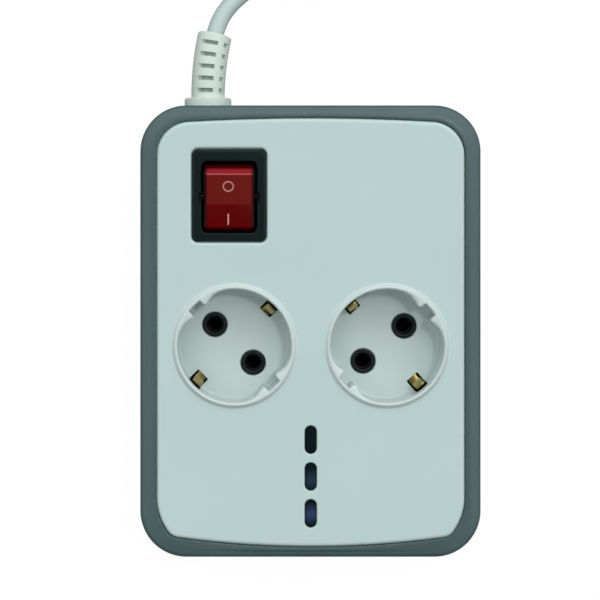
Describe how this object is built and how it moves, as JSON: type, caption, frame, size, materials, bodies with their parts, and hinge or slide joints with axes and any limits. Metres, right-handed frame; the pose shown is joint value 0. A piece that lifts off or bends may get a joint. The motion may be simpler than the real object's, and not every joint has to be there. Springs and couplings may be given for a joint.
{
  "type": "voltage protector",
  "caption": "Voltage protector with earthed sockets, a lit rocker switch, indicator windows and a mains lead with a moulded plug, lying on its back.",
  "frame": {"origin": "on the surface under the rubber feet, below the middle of the housing, with the lead left out of the measure", "axes": "+Z out of the front panel, +Y towards the end that the lead leaves, +X to the right when the panel is looked at with the lead at the top"},
  "size_m": [0.1433, 0.3292, 0.0456],
  "materials": {
    "case_grey": "satin",
    "frame_grey": "satin",
    "panel_pale": "gloss",
    "well_pale": "gloss",
    "carrier_black": "gloss",
    "contact_brass": "satin",
    "screw_steel": "satin",
    "foot_rubber": "matte",
    "switch_black": "gloss",
    "rocker_red": "gloss",
    "plunger_ivory": "satin",
    "lamp_glass": "gloss",
    "insulator_white": "satin",
    "board_green": "satin",
    "relay_blue": "satin",
    "film_yellow": "satin",
    "can_black": "satin",
    "disc_blue": "satin",
    "fuse_glass": "gloss",
    "chip_black": "matte",
    "led_tinted": "gloss",
    "lens_dark": "gloss",
    "relief_white": "satin",
    "cord_grey": "satin",
    "wire_brown": "satin",
    "wire_blue": "satin",
    "wire_green": "satin",
    "tie_black": "satin",
    "pin_nickel": "polished"
  },
  "bodies": {
    "housing": {"rear_case": "case_grey", "front_frame": "frame_grey", "front_panel": "panel_pale", "socket_well_left": "well_pale", "socket_well_right": "well_pale", "contact_carrier_left": "carrier_black", "contact_carrier_right": "carrier_black", "line_busbar": "contact_brass", "neutral_busbar": "contact_brass", "earth_strap_left": "contact_brass", "earth_strap_right": "contact_brass", "well_screws": "screw_steel", "case_screws": "screw_steel", "rubber_feet": "foot_rubber", "switch_housing": "switch_black", "switch_terminals": "contact_brass", "spade_connectors": "insulator_white", "circuit_board": "board_green", "board_screws": "screw_steel", "power_relay": "relay_blue", "film_capacitor": "film_yellow", "filter_capacitor": "can_black", "varistor": "disc_blue", "fuse": "fuse_glass", "fuse_clips": "screw_steel", "rectifier_diodes": "chip_black", "controller_chip": "chip_black", "chip_resistors": "chip_black", "status_leds": "led_tinted", "light_shroud": "insulator_white", "indicator_lens": "lens_dark", "strain_relief": "relief_white", "cord_clamp": "case_grey", "clamp_screws": "screw_steel", "line_wires": "wire_brown", "neutral_wires": "wire_blue", "earth_wires": "wire_green", "sheath_end": "cord_grey", "cord_run": "cord_grey", "cord_coil": "cord_grey", "cord_tail": "cord_grey", "cord_ties": "tie_black", "plug_body": "cord_grey", "plug_pins": "pin_nickel", "plug_earth_contacts": "pin_nickel"},
    "rocker": {"rocker": "rocker_red", "rocker_plungers": "plunger_ivory", "rocker_springs": "screw_steel", "neon_lamp": "lamp_glass"},
    "lever_line": {"contact_lever_line": "contact_brass"},
    "lever_neutral": {"contact_lever_neutral": "contact_brass"}
  },
  "joints": [
    {"name": "rocker_hinge", "type": "hinge", "parent": "housing", "child": "rocker", "pos_m": [-0.0281, 0.0463, 0.037], "axis": [-1, 0, 0], "range_deg": [0, 21]},
    {"name": "lever_line_hinge", "type": "hinge", "parent": "housing", "child": "lever_line", "pos_m": [-0.0328, 0.0463, 0.0272], "axis": [1, 0, 0], "range_deg": [0, 12]},
    {"name": "lever_neutral_hinge", "type": "hinge", "parent": "housing", "child": "lever_neutral", "pos_m": [-0.0234, 0.0463, 0.0272], "axis": [1, 0, 0], "range_deg": [0, 12]}
  ],
  "couplings": [
    {"joint": "lever_line_hinge", "follows": "rocker_hinge", "ratio": 0.57143},
    {"joint": "lever_neutral_hinge", "follows": "rocker_hinge", "ratio": 0.57143}
  ]
}
